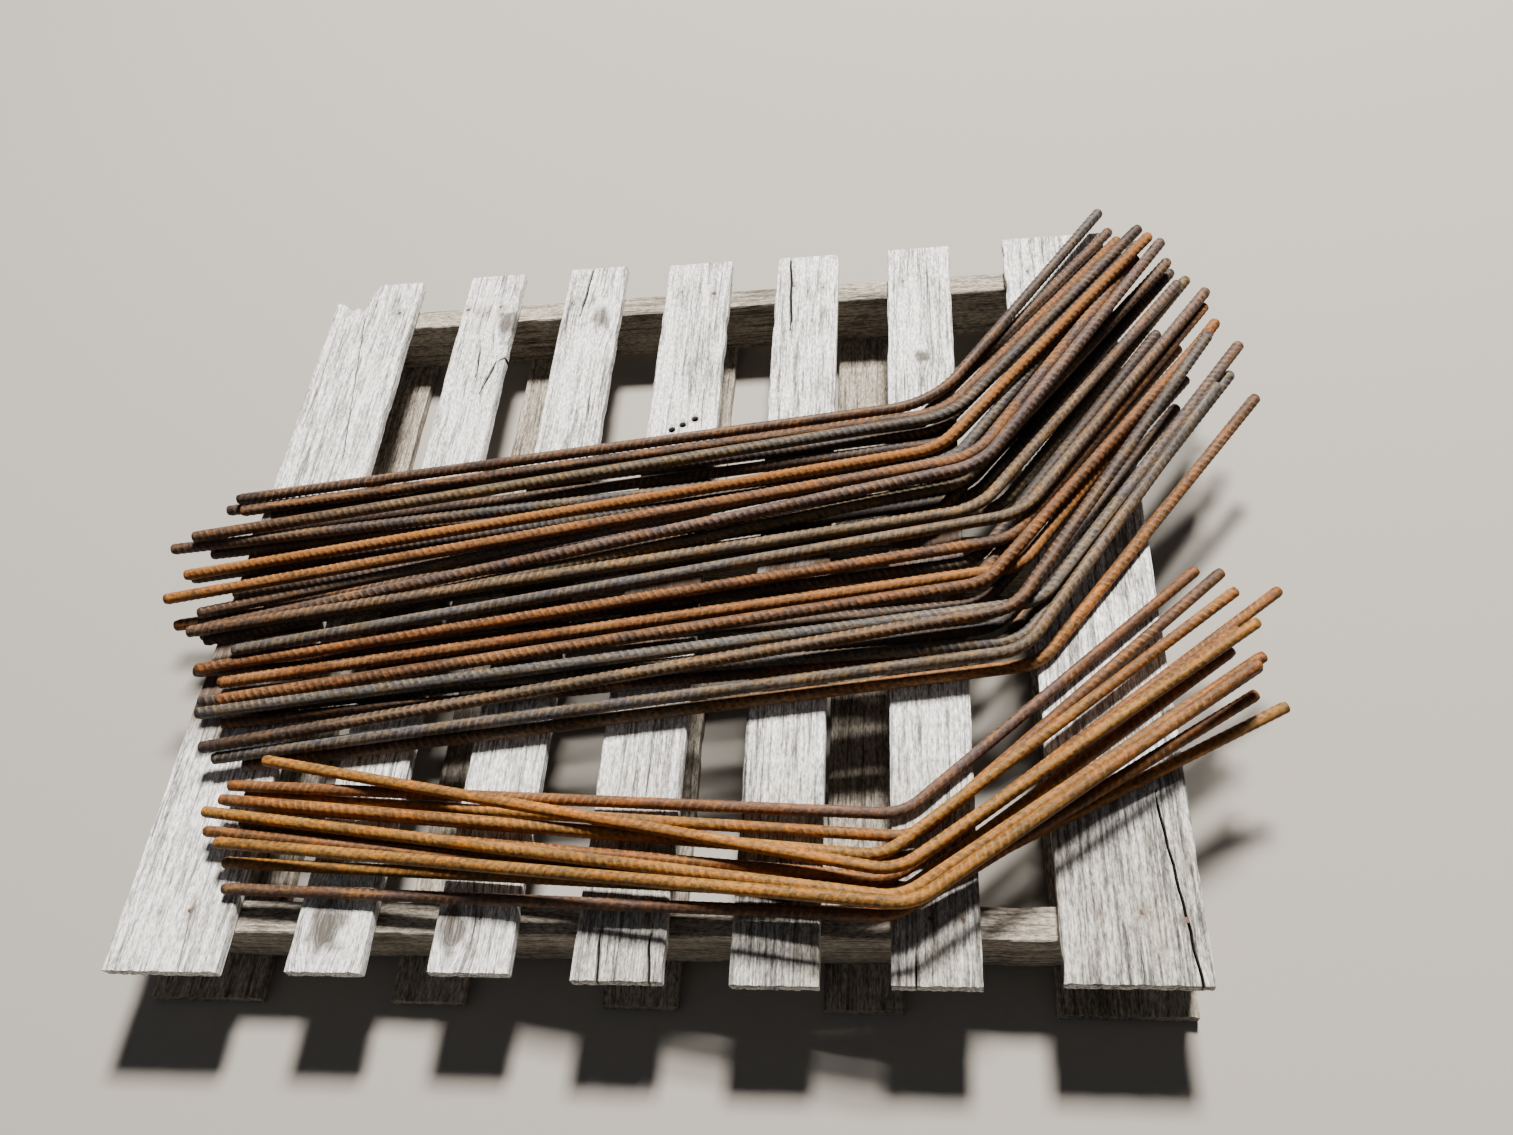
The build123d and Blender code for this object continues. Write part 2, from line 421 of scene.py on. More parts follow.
def rusty_steel_group():
    """Mill scale, rust blotches, pits and worn ribs over a bar's own tone, with dirt and painted shade at
    the foot of the ribs and painted glints on their crests.
    """
    tree, value, result = new_group("rusty_steel", "ShaderNodeTree", {
        "Place": "Vector",
        "Tone": (0.2, 0.12, 0.08, 1),
        "Rust Share": 0.4,
        "Relief": 0.0,
        "Rust Colour": (0.33, 0.11, 0.025, 1),
        "Dark Colour": (0.022, 0.014, 0.010, 1),
        "Worn Colour": (0.22, 0.15, 0.095, 1),
        "Wear": 0.5,
        # How strongly the feet of the ribs are darkened with dirt and painted shade
        "Contrast": 1.0,
    }, surface_outputs)
    place, relief, wear = value["Place"], value["Relief"], value["Wear"]
    blotches = noise_value(tree, place, (16, 70, 70), 5.0, 0.6)
    mottle = noise_value(tree, place, (160, 260, 260), 5.0, 0.65)
    grit = noise_value(tree, place, (900, 1100, 1100), 3.0, 0.6)

    lean = calc(tree, "SUBTRACT", value["Rust Share"], 0.5)
    rust = remap(tree, weighted(tree, (lean, 0.5), (blotches, 0.7), (mottle, 0.35)), 0.50, 0.68)
    tone = varied_tone(tree, value["Tone"], place, mottle)
    rust_shade = remap(tree, grit, 0.32, 0.68, 0.50, 1.65)
    rust_colour = vector_calc(tree, "SCALE", value["Rust Colour"], rust_shade)
    colour = blend(tree, mask(tree, rust, 0.75), tone, rust_colour)

    # Dirt and painted shade at the foot of the ribs, rubbed crests with painted glints, and pits
    foot = calc(tree, "SUBTRACT", 1.0, relief, clamp=True)
    foot_dirt_and_shade = mask(tree, foot, remap(tree, mottle, 0.35, 0.65, 0.45, 0.05), value["Contrast"])
    colour = blend(tree, foot_dirt_and_shade, colour, value["Dark Colour"])
    rubbed = mask(tree, relief, remap(tree, blotches, 0.42, 0.70), wear)
    colour = blend(tree, rubbed, colour, value["Worn Colour"])
    # Painted glints: bright specks on the crests that stand in for highlights
    glints = mask(tree, relief, remap(tree, grit, 0.58, 0.70), wear)
    colour = blend(tree, glints, colour, (0.35, 0.30, 0.23, 1))
    pits = remap(tree, grit, 0.28, 0.42, 0.70, 0.0)
    colour = blend(tree, pits, colour, value["Dark Colour"])

    roughness = calc(tree, "MULTIPLY_ADD", rust, 0.28, 0.50)
    roughness = calc(tree, "MULTIPLY_ADD", mottle, 0.15, roughness, clamp=True)
    height = weighted(tree, (grit, 0.4), (mottle, 0.6))
    put_out(tree, result, Color=colour, Roughness=roughness, Height=height)
    return tree


def weathered_wood_group():
    """Grey fibres, soft growth bands, dark checks, knots and rust stains of old pallet wood, with painted
    shade inside its cracks and cuts and under the bars.
    """
    tree, value, result = new_group("weathered_wood", "ShaderNodeTree", {
        "Grain": "Vector",
        # Rust stains, and painted shade under the bars
        "Stain": 0.0,
        "Knot": 0.0,
        "Crack Shade": 0.0,
        "Greyed": 0.0,
        "Light Colour": (0.84, 0.825, 0.80, 1),
        "Dark Colour": (0.19, 0.18, 0.17, 1),
        "Bare Colour": (0.60, 0.53, 0.43, 1),
        "Bare Share": 0.15,
    }, surface_outputs)
    grain = value["Grain"]
    fibres = noise_value(tree, grain, (280, 13, 280), 5.0, 0.72)
    strands = noise_value(tree, grain, (150, 4.5, 150), 4.0, 0.65, 0.5)
    bands = noise_value(tree, grain, (75, 1.6, 75), 2.0, 0.5, 0.6)
    patches = noise_value(tree, grain, (14, 7, 14), 4.0, 0.65)
    fuzz = noise_value(tree, grain, (430, 110, 430), 3.0, 0.75)

    share = weighted(tree, (strands, 0.24), (fibres, 0.50), (bands, 0.08), (patches, 0.18))
    share = remap(tree, share, 0.41, 0.55)
    colour = blend(tree, share, value["Dark Colour"], value["Light Colour"])
    bare = mask(tree, remap(tree, patches, 0.50, 0.72), value["Bare Share"])
    colour = blend(tree, bare, colour, value["Bare Colour"])
    colour = vector_calc(tree, "SCALE", colour, remap(tree, fuzz, 0.33, 0.67, 0.44, 1.30))
    greyed = mask(tree, value["Greyed"], remap(tree, patches, 0.35, 0.60, 0.6, 1.0))
    grey = vector_calc(tree, "MULTIPLY", colour, (0.50, 0.48, 0.43))
    colour = blend(tree, greyed, colour, grey)

    checks = mask(tree, remap(tree, strands, 0.36, 0.30), remap(tree, fibres, 0.52, 0.40))
    # Painted shade: cracks, holes and the notch are darkened to near black where shade falls inside them
    split = remap(tree, value["Crack Shade"], 0.08, 0.45)
    dark = calc(tree, "MAXIMUM", mask(tree, checks, 0.5), split, clamp=True)
    colour = blend(tree, dark, colour, (0.020, 0.017, 0.015, 1))
    rings = calc(tree, "SINE", calc(tree, "MULTIPLY", value["Knot"], 34.0))
    rings = calc(tree, "MULTIPLY_ADD", rings, 0.06, 0.88)
    knot = mask(tree, remap(tree, value["Knot"], 0.08, 0.92), rings,
                remap(tree, fibres, 0.35, 0.60, 0.6, 1.2))
    colour = blend(tree, knot, colour, (0.085, 0.074, 0.063, 1))
    # Rust stains round the nails, and rust dust with painted shade under the bars
    stain_and_shade = mask(tree, remap(tree, fibres, 0.30, 0.60, 0.55, 1.0), 0.85, value["Stain"])
    colour = blend(tree, stain_and_shade, colour, (0.090, 0.056, 0.036, 1))

    height = weighted(tree, (strands, 0.5), (fibres, 0.35), (fuzz, 0.15), (checks, -0.6))
    roughness = remap(tree, strands, 0.35, 0.65, 0.95, 0.82)
    put_out(tree, result, Color=colour, Roughness=roughness, Height=height)
    return tree


def new_material(name, constants):
    """A material with a plain surface shader whose constant values are set on its own sockets."""
    material = bpy.data.materials.new(name)
    material.use_nodes = True
    shader = material.node_tree.nodes["Principled BSDF"]
    for socket, value in constants.items():
        shader.inputs[socket].default_value = value
    return material, material.node_tree, shader


def wire_surface(tree, shader, colour, roughness, height, bump_depth):
    """Give a surface shader the colour, roughness and bump that vary over the piece."""
    relief = {"Height": height, "Distance": bump_depth, "Strength": 1.0}
    normal = add_node(tree, "ShaderNodeBump", relief).outputs["Normal"]
    for socket, value in (("Base Color", colour), ("Roughness", roughness), ("Normal", normal)):
        tree.links.new(value, shader.inputs[socket])


def grouped_material(name, group, sources, values, bump_depth, metallic=0.0):
    """A material that feeds a shader group from the piece's own attributes, with its own values."""
    constants = {"Metallic": metallic, "Specular IOR Level": dull_specular}
    material, tree, shader = new_material(name, constants)
    surface = add_node(tree, "ShaderNodeGroup", node_tree=group)
    for socket, (source, output) in sources.items():
        stored = add_node(tree, "ShaderNodeAttribute", attribute_name=source)
        tree.links.new(stored.outputs[output], surface.inputs[socket])
    for socket, value in values.items():
        surface.inputs[socket].default_value = value
    colour, roughness, height = (surface.outputs[name] for name in surface_outputs)
    wire_surface(tree, shader, colour, roughness, height, bump_depth)
    return material


# Bars

def bar_path(node):
    """Start, bend start, bend end and tail of a bar's centre line, read from its plain solid.

    The solid has vertices only at its two ends and round its bend, so the nearest ones past an end are
    where the bend begins or ends.
    """
    end_slice, ring_slice, shortest_leg = 20 * mm, 4 * mm, 100 * mm
    points = np.array([vertex.co for vertex in node.data.vertices], float)
    points = np.unique(points.round(6), axis=0)
    tail_side = points @ np.array(tail_direction)
    start = points[points[:, 0] < points[:, 0].min() + end_slice].mean(axis=0)
    tail = points[tail_side > tail_side.max() - end_slice].mean(axis=0)
    bends = []
    for end in (start, tail):
        away = np.linalg.norm(points - end, axis=1)
        nearest = away[away > shortest_leg].min()
        bends.append(points[(away > shortest_leg) & (away < nearest + ring_slice)].mean(axis=0))
    return start, *bends, tail


def path_curve(name, node):
    """A curve along a bar's centre line: straight leg, round bend, straight leg."""
    start, bend_start, bend_end, tail = bar_path(node)
    first = (bend_start - start) / np.linalg.norm(bend_start - start)
    second = (tail - bend_end) / np.linalg.norm(tail - bend_end)
    turn = math.acos(float(first @ second))
    reach = np.linalg.norm(bend_end - bend_start) / (2 * math.sin(turn / 2)) * 4 / 3 * math.tan(turn / 4)
    points = (start, bend_start, bend_end, tail)
    leg, tail_leg = (bend_start - start) / 3, (tail - bend_end) / 3
    before = (start - first * mm, bend_start - leg, bend_end - second * reach, tail - tail_leg)
    after = (start + leg, bend_start + first * reach, bend_end + tail_leg, tail + second * mm)
    data = bpy.data.curves.new(name, "CURVE")
    data.dimensions = "3D"
    spline = data.splines.new("BEZIER")
    spline.resolution_u = 24
    spline.bezier_points.add(3)
    for point, place, left, right in zip(spline.bezier_points, points, before, after):
        point.handle_left_type = point.handle_right_type = "FREE"
        point.co = Vector(place)
        point.handle_left = Vector(left)
        point.handle_right = Vector(right)
    return data


def numbered_grid(tree, last, sides):
    """A flat grid, and the number of each vertex's row along the bar and column round it."""
    sizes = {
        "Size X": last, "Size Y": sides,
        "Vertices X": calc(tree, "ADD", last, 1.0), "Vertices Y": calc(tree, "ADD", sides, 1.0),
    }
    grid = add_node(tree, "GeometryNodeMeshGrid", sizes).outputs["Mesh"]
    place = add_node(tree, "GeometryNodeInputPosition").outputs[0]
    split = add_node(tree, "ShaderNodeSeparateXYZ", {0: place}).outputs
    row = calc(tree, "ROUND", calc(tree, "MULTIPLY_ADD", last, 0.5, split[0]))
    column = calc(tree, "ROUND", calc(tree, "MULTIPLY_ADD", sides, 0.5, split[1]))
    return grid, row, column


def rib_stations(tree, value, length, ribs, body_row, angle):
    """How far along the bar a vertex lies, and which of its rib's four rows it is in."""
    first_row, row_step, end_gap = 0.28, 0.147, 1.2 * mm
    rib = calc(tree, "FLOOR", calc(tree, "DIVIDE", body_row, 4.0))
    phase = calc(tree, "MULTIPLY_ADD", rib, -4.0, body_row)
    station = calc(tree, "ADD", rib, calc(tree, "MULTIPLY_ADD", phase, row_step, first_row))
    station = calc(tree, "MULTIPLY", station, calc(tree, "DIVIDE", length, ribs))
    fold = calc(tree, "ABSOLUTE", calc(tree, "MULTIPLY_ADD", angle, 1 / math.pi, -1.0))
    slant = calc(tree, "MULTIPLY", calc(tree, "SUBTRACT", fold, 0.5), value["Rib Slant"])
    station = calc(tree, "MAXIMUM", calc(tree, "ADD", station, slant), end_gap)
    return calc(tree, "MINIMUM", station, calc(tree, "SUBTRACT", length, end_gap)), phase


def circle_sides(tree, radius, angle):
    """A radius times the cosine and the sine of an angle."""
    return [calc(tree, "MULTIPLY", radius, calc(tree, wave, angle)) for wave in ("COSINE", "SINE")]


def place_round_path(tree, path, station, radius, angle):
    """The place at a radius and an angle round a path."""
    upright = add_node(tree, "GeometryNodeSetCurveNormal", {"Curve": path}, mode="Z_UP")
    sample = {"Curves": upright.outputs["Curve"], "Length": station}
    on_path = add_node(tree, "GeometryNodeSampleCurve", sample, mode="LENGTH").outputs
    across = vector_calc(tree, "CROSS_PRODUCT", on_path["Tangent"], on_path["Normal"])
    sides = circle_sides(tree, radius, angle)
    out = vector_calc(tree, "ADD", vector_calc(tree, "SCALE", on_path["Normal"], sides[0]),
                      vector_calc(tree, "SCALE", across, sides[1]))
    return vector_calc(tree, "ADD", on_path["Position"], out)


def finish_tree(tree, result, geometry, material):
    """End a tree with real geometry that carries its material."""
    geometry = add_node(tree, "GeometryNodeRealizeInstances", {"Geometry": geometry}).outputs[0]
    dressed = {"Geometry": geometry, "Material": material}
    geometry = add_node(tree, "GeometryNodeSetMaterial", dressed).outputs[0]
    tree.links.new(geometry, result.inputs[0])


def ribbed_bar_tree():
    """Geometry nodes that roll a ribbed round skin along a path.

    The skin is a flat grid. Each rib takes four of its rows, and two more close the bar at each end.
    """
    crowding, chamfer = -0.12, 0.14
    tree, value, result = new_group("ribbed_bar", "GeometryNodeTree", {
        "Path": "Geometry",
        "Radius": 7.5 * mm,
        "Rib Height": 0.65 * mm,
        "Rib Pitch": 9.7 * mm,
        "Rib Slant": 9.0 * mm,
        "Seam Height": 0.5 * mm,
        "Sides": 16,
        "Roll": 0.0,
        "Twist": 0.0,
        "Seed": 0.0,
        "Material": "Material",
    }, {"Skin": "Geometry"})
    length = add_node(tree, "GeometryNodeCurveLength", {"Curve": value["Path"]}).outputs["Length"]
    ribs = calc(tree, "FLOOR", calc(tree, "DIVIDE", length, value["Rib Pitch"]))
    last = calc(tree, "MULTIPLY_ADD", ribs, 4.0, 3.0)
    skin, row, column = numbered_grid(tree, last, value["Sides"])

    # Columns stand closer together at the two seams
    even = calc(tree, "MULTIPLY", calc(tree, "DIVIDE", column, value["Sides"]), 2 * math.pi)
    twice = calc(tree, "SINE", calc(tree, "MULTIPLY", even, 2.0))
    angle = calc(tree, "MULTIPLY_ADD", twice, crowding, even)
    side = calc(tree, "ABSOLUTE", calc(tree, "SINE", angle))

    body_row = calc(tree, "SUBTRACT", row, 2.0)
    station, phase = rib_stations(tree, value, length, ribs, body_row, angle)
    edge = calc(tree, "MINIMUM", row, calc(tree, "SUBTRACT", last, row))
    is_end = calc(tree, "LESS_THAN", edge, 1.5)
    on_body = calc(tree, "MULTIPLY", station, calc(tree, "SUBTRACT", 1.0, is_end))
    on_end = calc(tree, "MULTIPLY", length, calc(tree, "GREATER_THAN", row, 5.0))
    station = calc(tree, "ADD", on_body, calc(tree, "MULTIPLY", on_end, is_end))

    # Two rows of each rib are its crest, and ribs fade out towards the bar's ends
    to_end = calc(tree, "MINIMUM", station, calc(tree, "SUBTRACT", length, station))
    fade = remap(tree, to_end, 1.5 * mm, 6 * mm)
    on_rib = calc(tree, "LESS_THAN", calc(tree, "ABSOLUTE", calc(tree, "SUBTRACT", phase, 1.5)), 1.0)
    crest = calc(tree, "MULTIPLY", on_rib, remap(tree, side, 0.05, 0.45))
    seam = remap(tree, side, 0.22, 0.05)
    relief = calc(tree, "MULTIPLY", calc(tree, "MAXIMUM", crest, seam), fade)
    rise = calc(tree, "MAXIMUM", calc(tree, "MULTIPLY", crest, value["Rib Height"]),
                calc(tree, "MULTIPLY", seam, value["Seam Height"]))
    rim = calc(tree, "SUBTRACT", 1.0, calc(tree, "MULTIPLY", is_end, chamfer))
    rim = calc(tree, "MULTIPLY", rim, calc(tree, "GREATER_THAN", edge, 0.5))
    radius = calc(tree, "MULTIPLY", calc(tree, "MULTIPLY_ADD", rise, fade, value["Radius"]), rim)

    share = calc(tree, "DIVIDE", station, length)
    turned = calc(tree, "ADD", angle, value["Roll"])
    turned = calc(tree, "MULTIPLY_ADD", value["Twist"], share, turned)
    skin_place = place_round_path(tree, value["Path"], station, radius, turned)
    unrolled = (calc(tree, "ADD", station, value["Seed"]), *circle_sides(tree, radius, angle))
    bar_place = add_node(tree, "ShaderNodeCombineXYZ", dict(enumerate(unrolled))).outputs[0]
    for name, kind, field in (("bar_place", "FLOAT_VECTOR", bar_place), ("relief", "FLOAT", relief),
                              ("along", "FLOAT", share)):
        stored = {"Geometry": skin, "Name": name, "Value": field}
        skin = add_node(tree, "GeometryNodeStoreNamedAttribute", stored, data_type=kind,
                        domain="POINT").outputs[0]
    for kind, inputs in (
        ("GeometryNodeSetPosition", {"Position": skin_place}),
        ("GeometryNodeMergeByDistance", {"Distance": 0.02 * mm}),
        ("GeometryNodeSetShadeSmooth", {}),
    ):
        skin = add_node(tree, kind, {"Geometry": skin, **inputs}).outputs[0]
    finish_tree(tree, result, skin, value["Material"])
    return tree


def object_from_tree(name, source_data, tree, values):
    """Run a tree on a curve or mesh with its inputs set, and keep only the plain mesh."""
    source = add_object(name + "_source", source_data)
    modifier = source.modifiers.new("shape", "NODES")
    modifier.node_group = tree
    for socket in tree.interface.items_tree:
        if socket.name in values:
            modifier[socket.identifier] = values[socket.name]
    mesh = finished_mesh(source)
    source.modifiers.remove(modifier)
    bpy.data.objects.remove(source)
    mesh.name = name
    return add_object(name, mesh)


def point_outwards(mesh):
    """Turn the faces over if the mesh is inside out."""
    mesh.calc_loop_triangles()
    places = np.zeros(len(mesh.vertices) * 3)
    mesh.vertices.foreach_get("co", places)
    corners = np.zeros(len(mesh.loop_triangles) * 3, int)
    mesh.loop_triangles.foreach_get("vertices", corners)
    triangles = places.reshape(-1, 3)[corners.reshape(-1, 3)]
    triangles = triangles - places.reshape(-1, 3).mean(axis=0)
    if np.einsum("ij,ij->i", triangles[:, 0], np.cross(triangles[:, 1], triangles[:, 2])).sum() < 0:
        mesh.flip_normals()


def store(mesh, name, values, kind="FLOAT"):
    """Store one value for each vertex."""
    made = mesh.attributes.get(name) or mesh.attributes.new(name, kind, "POINT")
    key = {"FLOAT": "value", "FLOAT_VECTOR": "vector", "FLOAT_COLOR": "color"}[kind]
    made.data.foreach_set(key, np.asarray(values, np.float32).ravel())


def tint_bar(mesh, look):
    """Store the bar's tone and rust along its length."""
    along = np.zeros(len(mesh.vertices), np.float32)
    mesh.attributes["along"].data.foreach_get("value", along)
    stations = (0.0, 0.33, 0.70, 1.0)
    colours = np.array([tones[name] for name in look.tones.split()])
    channels = [np.interp(along, stations, colours[:, channel]) for channel in range(3)]
    store(mesh, "tone", np.stack([*channels, np.ones_like(along)], axis=1), "FLOAT_COLOR")
    store(mesh, "rust", np.full(len(along), look.rust))


# Wood

def noise_grid(across, rows, scale, offset):
    """Noise for each row and column, with its own scale across and along the grain."""
    return np.array([
        [noise.noise((a * scale[0] + offset[0], b * scale[1] + offset[1], offset[2])) for a in across]
        for b in rows
    ])


class Timber:
    """A weathered board or stringer, worn and cracked inwards from its solid.

    It is made in its own directions: across the grain, along the grain and up. Its mesh is a grid of
    lines over its upper face, the same below, and the sides between them.
    """

    def __init__(self, node_name, seed, spacing, step):
        """Measure the solid and lay the grid on it."""
        low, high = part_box(node_name)
        self.order = [0, 1, 2] if "board" in node_name else [1, 0, 2]
        self.low = np.array(low)[self.order]
        self.width, self.length, self.height = np.array(high - low)[self.order]
        self.step = step
        inner = self.width - 2 * edge_wear * mm
        lines = np.linspace(edge_wear * mm, self.width - edge_wear * mm, max(6, round(inner / spacing)) + 1)
        self.across = np.concatenate(([0.0], lines, [self.width]))
        self.rows = np.linspace(0.0, self.length, max(8, round(self.length / step)) + 1)
        self.u, self.v = np.meshgrid(self.across, self.rows)
        self.rng = np.random.default_rng(seed)
        self.phase = self.rng.uniform(0, 50, 3)
        self.cracked, self.knotted, self.bulge, self.stains_and_shade, self.greyed = np.zeros((5, *self.u.shape))

    def away_from(self, place):
        """How far every point of the grid is from a place on the deck, across and along the grain."""
        return self.u - (place[0] * mm - self.low[0]), self.v - (place[1] * mm - self.low[1])

    def crack(self, start, end, width, depth):
        """Sink a crack along the grain, with the lines beside it drawn to its two lips."""
        taper, open_taper, lead_in = 20 * mm, 25 * mm, 60 * mm
        lip_gap = 0.2 * mm
        drawn_lines = 5
        (x0, y0), (x1, y1) = sorted((start, end), key=lambda point: point[1])
        x0, x1 = (np.array((x0, x1)) * mm - self.low[0]).tolist()
        y0, y1 = (np.array((y0, y1)) * mm - self.low[1]).tolist()
        u, rows = self.u, self.rows
        column = int(np.argmin(abs(self.across - (x0 + x1) / 2)))
        column = min(max(column, 2), len(self.across) - 3)
        wander = np.array([noise.noise((y * 45, self.phase[0], column)) for y in rows]) * 1.5 * mm
        line = x0 + (x1 - x0) * np.clip((rows - y0) / (y1 - y0), 0, 1) + wander

        # It narrows towards its ends, apart from one that runs out of the timber
        opened = np.clip(np.minimum(rows - y0, y1 - rows) / taper + 0.15, 0, 1)
        if y1 > self.length - 5 * mm:
            opened = np.clip((rows - y0) / open_taper + 0.1, 0, 1)
        if y0 < 5 * mm:
            opened = np.clip((y1 - rows) / open_taper + 0.1, 0, 1)
        opened = np.where((rows > y0 - self.step) & (rows < y1 + self.step), opened, 0)

        near = np.clip(np.minimum(rows - y0, y1 - rows) / lead_in + 1, 0, 1)
        shift = (line - self.across[column]) * near
        for other in range(1, len(self.across) - 1):
            u[:, other] += shift * max(0.0, 1 - abs(other - column) / drawn_lines)
        lip = width * mm / 2 * opened
        u[:, column - 1] = np.where(opened > 0, u[:, column] - lip - lip_gap, u[:, column - 1])
        u[:, column + 1] = np.where(opened > 0, u[:, column] + lip + lip_gap, u[:, column + 1])
        self.cracked[:, column] = np.maximum(self.cracked[:, column], depth * mm * opened)

    def knot(self, place, radius):
        """Mark a knot, with the grain bulging round it."""
        du, dv = self.away_from(place)
        reach = np.sqrt((du / (radius * mm)) ** 2 + (dv / (radius * mm * 1.25)) ** 2)
        wobble = noise_grid(self.across, self.rows, (70, 55), (self.phase[2], 0, radius))
        reach = reach * (1 + 0.7 * wobble)
        self.knotted = np.maximum(self.knotted, np.clip(1.55 - reach, 0, 1))
        self.bulge += np.sign(du) * radius * mm * 0.9 * np.exp(-(du / (radius * mm * 2)) ** 2
                                                             - (dv / (radius * mm * 2.6)) ** 2)

    def lay_dust_shade_and_grey(self):
        """Lay rust dust with painted shade in its band and grey the near right corner of the deck."""
        x, y = self.u + self.low[0], self.v + self.low[1]
        below, above = (np.interp(x, dust_shade_ends, line) for line in dust_shade_band)
        into = np.minimum(np.minimum(y - below, above - y) / (dust_shade_fade[0] * mm),
                          (dust_shade_right - x) / (dust_shade_fade[1] * mm))
        patchy = noise_grid(self.across, self.rows, (40, 16), (0, 0, self.phase[0]))
        self.stains_and_shade = np.clip(into, 0, 1) * (1.35 + 0.9 * patchy)
        self.greyed = (np.clip((x - greyed_corner[0]) / (greyed_fade[0] * mm), 0, 1)
                       * np.clip((greyed_corner[1] - y) / (greyed_fade[1] * mm), 0, 1))

    def rust_round(self, nail):
        """Stain the wood round a nail."""
        du, dv = self.away_from(nail)
        halo = np.exp(-(du / (5 * mm)) ** 2 - (dv / (11 * mm)) ** 2)
        self.stains_and_shade = np.maximum(self.stains_and_shade, halo)

    def faces(self, end_line):
        """The places of the upper and the lower face's points, worn inwards from the solid."""
        across, rows, phase = self.across, self.rows, self.phase
        ridges = noise_grid(across, rows, (160, 5), phase)
        waves = noise_grid(across, rows, (30, 3), (phase[1], 0, phase[0]))
        frayed = self.rng.uniform(0, 1, (4, len(across))) ** 2 * frayed_ends * mm
        chips = noise_grid((0, 1), rows, (9, 28), (phase[2], 0, phase[1]))
        chips = np.clip(chips, 0, 1) * edge_chips * mm
        final = end_line(across, self.length) if end_line else np.full(len(across), self.length)

        x = self.u.copy()
        x[:, 0] += chips[:, 0]
        x[:, -1] -= chips[:, 1]
        x[:, 1] = np.maximum(x[:, 1], x[:, 0] + 0.5 * mm)
        x[:, -2] = np.minimum(x[:, -2], x[:, -1] - 0.5 * mm)
        worn = ((0.35 - 0.7 * np.clip(ridges, -0.5, 0.5)) * ridge_depth * mm
                + np.clip(waves, 0, 1) * wave_depth * mm)
        sunk = worn + self.cracked - np.clip(self.knotted - 0.4, 0, 1) * knot_rise * mm
        sheets = []
        for level, side, drop, ends in ((self.height, -1, sunk, frayed[:2]), (0.0, 1, worn, frayed[2:])):
            y = ends[0] + self.v / self.length * (final - ends[1] - ends[0])
            drop = np.maximum(drop, 0)
            drop[:, 0] = drop[:, -1] = edge_wear * mm
            sheets.append(np.stack([x, y, level + side * drop], axis=2).reshape(-1, 3))
        return np.concatenate(sheets)

    def quads(self):
        """The corners of every face, all pointing outwards."""
        index = np.arange(self.u.size).reshape(self.u.shape)
        under = index + self.u.size
        lines = []
        for row in range(len(index) - 1):
            lines += [(index[row], index[row + 1]), (under[row + 1], under[row])]
        lines += [(under[0], index[0]), (index[-1], under[-1]), (index[:, 0], under[:, 0]),
                  (under[:, -1], index[:, -1])]
        return np.concatenate([np.stack([a[:-1], a[1:], b[1:], b[:-1]], axis=1) for a, b in lines])

    def build(self, name, end_line=None):
        """Make the timber's object, with what the material needs stored on it."""
        places = self.faces(end_line)
        grain = places.copy()
        grain[:, 0] -= np.tile(self.bulge.ravel(), 2)
        grain += self.phase * 0.37
        mesh = bpy.data.meshes.new(name)
        mesh.from_pydata((places + self.low)[:, self.order].tolist(), [], self.quads().tolist())
        mesh.update()
        store(mesh, "grain", grain, "FLOAT_VECTOR")
        for attribute, values, below in (
            # Rust stains, with painted shade under the bars
            ("stain_and_shade", self.stains_and_shade, 0),
            ("greyed", self.greyed, 0),
            ("knot", self.knotted, 0.8),
            # The crack values carry painted shade into the cracks
            ("crack", np.clip(self.cracked / (4 * mm), 0, 1), 0),
        ):
            store(mesh, attribute, np.concatenate([values.ravel(), values.ravel() * below]))
        point_outwards(mesh)
        return add_object(name, mesh)


def cut_through(board, tool):
    """Cut a board with a closed tool, paint shade on the foot of the cut, and take the tool away."""
    cut = board.modifiers.new("cut", "BOOLEAN")
    cut.operation = "DIFFERENCE"
    cut.solver = "EXACT"
    cut.object = tool
    left = finished_mesh(board)
    board.modifiers.remove(cut)
    middle = (board.bound_box[0][2] + board.bound_box[6][2]) / 2
    whole = {vertex.co.to_tuple(6) for vertex in board.data.vertices}
    # The lower walls of the cut are marked for painted shade
    for vertex in left.vertices:
        if vertex.co.z < middle and vertex.co.to_tuple(6) not in whole:
            left.attributes["crack"].data[vertex.index].value = 1.0
    board.data = left
    bpy.data.objects.remove(tool)


def drill(board, places, radius):
    """Cut round holes through a board."""
    low, high = board.bound_box[0][2], board.bound_box[6][2]
    for x, y in places:
        bpy.ops.mesh.primitive_cylinder_add(
            vertices=20, radius=radius * mm, depth=(high - low) * 3,
            location=(x * mm, y * mm, (low + high) / 2),
        )
        cut_through(board, bpy.context.object)


def notch(board, mouth, tip, width):
    """Break a wedge out of a board's edge."""
    overshoot, blunt_tip = 5 * mm, 0.2
    mouth, tip = Vector(mouth) * mm, Vector(tip) * mm
    aside = (tip - mouth).normalized().orthogonal() * width * mm / 2
    corners = (mouth + aside, mouth - aside, tip - aside * blunt_tip, tip + aside * blunt_tip)
    levels = (board.bound_box[0][2] - overshoot, board.bound_box[6][2] + overshoot)
    places = [(*corner, level) for level in levels for corner in corners]
    sides = [(i, (i + 1) % 4, (i + 1) % 4 + 4, i + 4) for i in range(4)]
    mesh = bpy.data.meshes.new("notch")
    mesh.from_pydata(places, [], [(3, 2, 1, 0), (4, 5, 6, 7), *sides])
    point_outwards(mesh)
    cut_through(board, add_object("notch", mesh))


